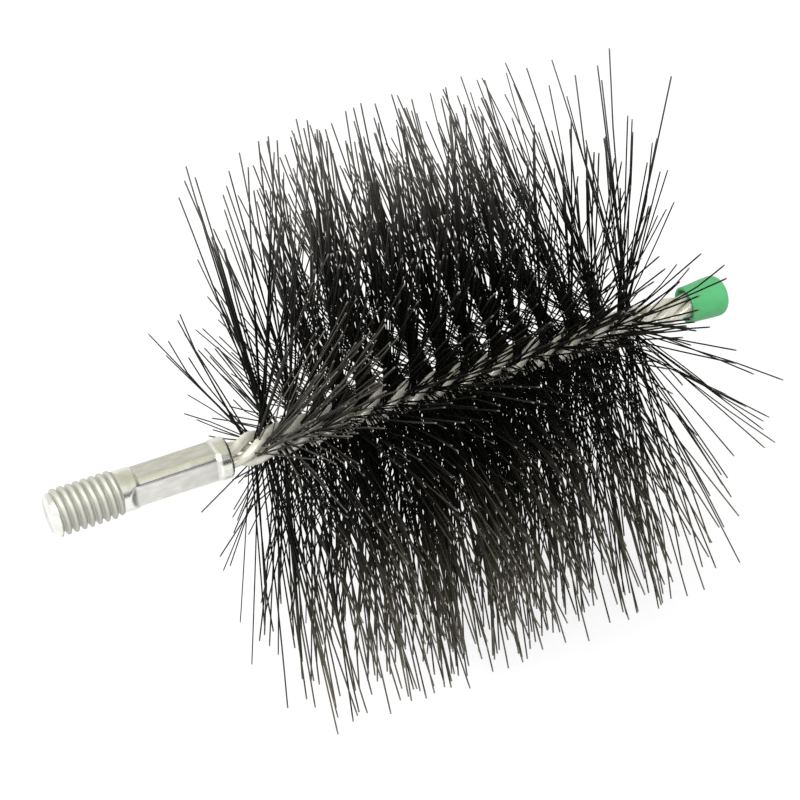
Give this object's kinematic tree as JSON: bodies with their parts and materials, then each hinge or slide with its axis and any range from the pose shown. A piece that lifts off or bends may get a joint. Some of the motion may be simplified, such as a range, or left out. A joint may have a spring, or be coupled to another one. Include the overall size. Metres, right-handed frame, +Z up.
{
  "type": "chimney sweep brush",
  "caption": "Round chimney sweep brush: screw-in rod fitting crimped on a twisted wire core, helical rows of spring-steel bristles, plastic tip cap.",
  "frame": {"origin": "centre of the threaded end face of the rod fitting", "axes": "+X along the core from the threaded end to the tip cap; +Z up with the brush lying on its lowest bristle tips; +Y completes the right-handed frame"},
  "size_m": [0.2034, 0.1596, 0.1584],
  "materials": {
    "zinc_plated_steel": "bright zinc plating, satin",
    "galvanised_wire": "galvanised, smooth",
    "dark_spring_steel": "oil-tempered, dark",
    "green_plastic": "satin moulded plastic"
  },
  "bodies": {
    "root": {"threaded_fitting": "zinc_plated_steel", "core_wire_1": "galvanised_wire", "core_wire_2": "galvanised_wire", "core_wire_3": "galvanised_wire", "core_wire_4": "galvanised_wire", "bristle_row_1": "dark_spring_steel", "bristle_row_2": "dark_spring_steel", "bristle_row_3": "dark_spring_steel", "bristle_row_4": "dark_spring_steel", "tip_cap": "green_plastic"}
  },
  "joints": []
}
